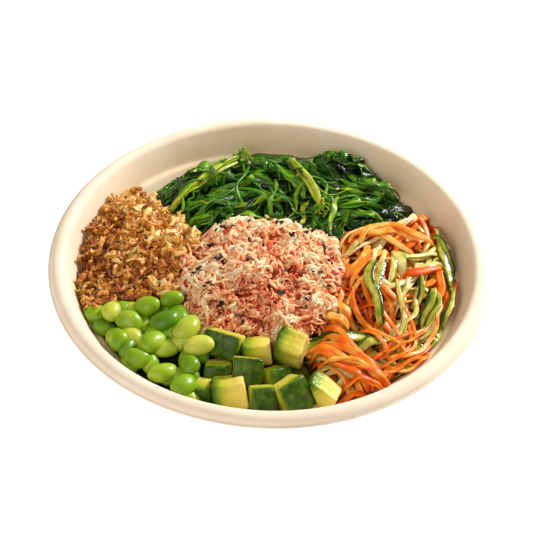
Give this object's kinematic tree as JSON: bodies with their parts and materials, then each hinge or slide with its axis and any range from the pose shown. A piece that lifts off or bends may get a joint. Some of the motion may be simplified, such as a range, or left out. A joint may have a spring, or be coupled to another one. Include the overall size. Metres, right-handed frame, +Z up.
{
  "type": "poke bowl",
  "caption": "Poke bowl: a round moulded-fibre bowl holding shredded crab salad, seaweed salad, crispy onion, edamame, diced avocado and carrot and cucumber threads.",
  "frame": {"origin": "centre of the base, on the surface that the bowl stands on", "axes": "+Z up; +Y across the bowl towards the seaweed salad; +X towards the carrot and cucumber threads"},
  "size_m": [0.23, 0.23, 0.0683],
  "materials": {
    "fibre": "matt moulded plant fibre, cream",
    "crab": "moist shredded crab stick in dressing, cream to coral red, with black sesame",
    "seaweed": "wet glossy seaweed ribbons, deep to bright green",
    "onion": "dry crisp fried flakes, golden to brown",
    "edamame": "smooth moist beans, fresh green",
    "threads": "moist raw vegetable, orange carrot and pale green cucumber with dark skin",
    "avocado": "soft oily flesh, yellow inside to dark green under the skin"
  },
  "bodies": {
    "root": {"bowl": "fibre", "crab_salad": "crab", "seaweed_salad": "seaweed", "crispy_onion": "onion", "edamame": "edamame", "carrot_cucumber_threads": "threads", "avocado_lower_layer": "avocado", "avocado_die_1": "avocado", "avocado_die_2": "avocado", "avocado_die_3": "avocado", "avocado_die_4": "avocado", "avocado_die_5": "avocado", "avocado_die_6": "avocado", "avocado_die_7": "avocado", "avocado_die_8": "avocado", "avocado_die_9": "avocado", "avocado_die_10": "avocado", "avocado_die_11": "avocado", "avocado_die_12": "avocado"}
  },
  "joints": []
}
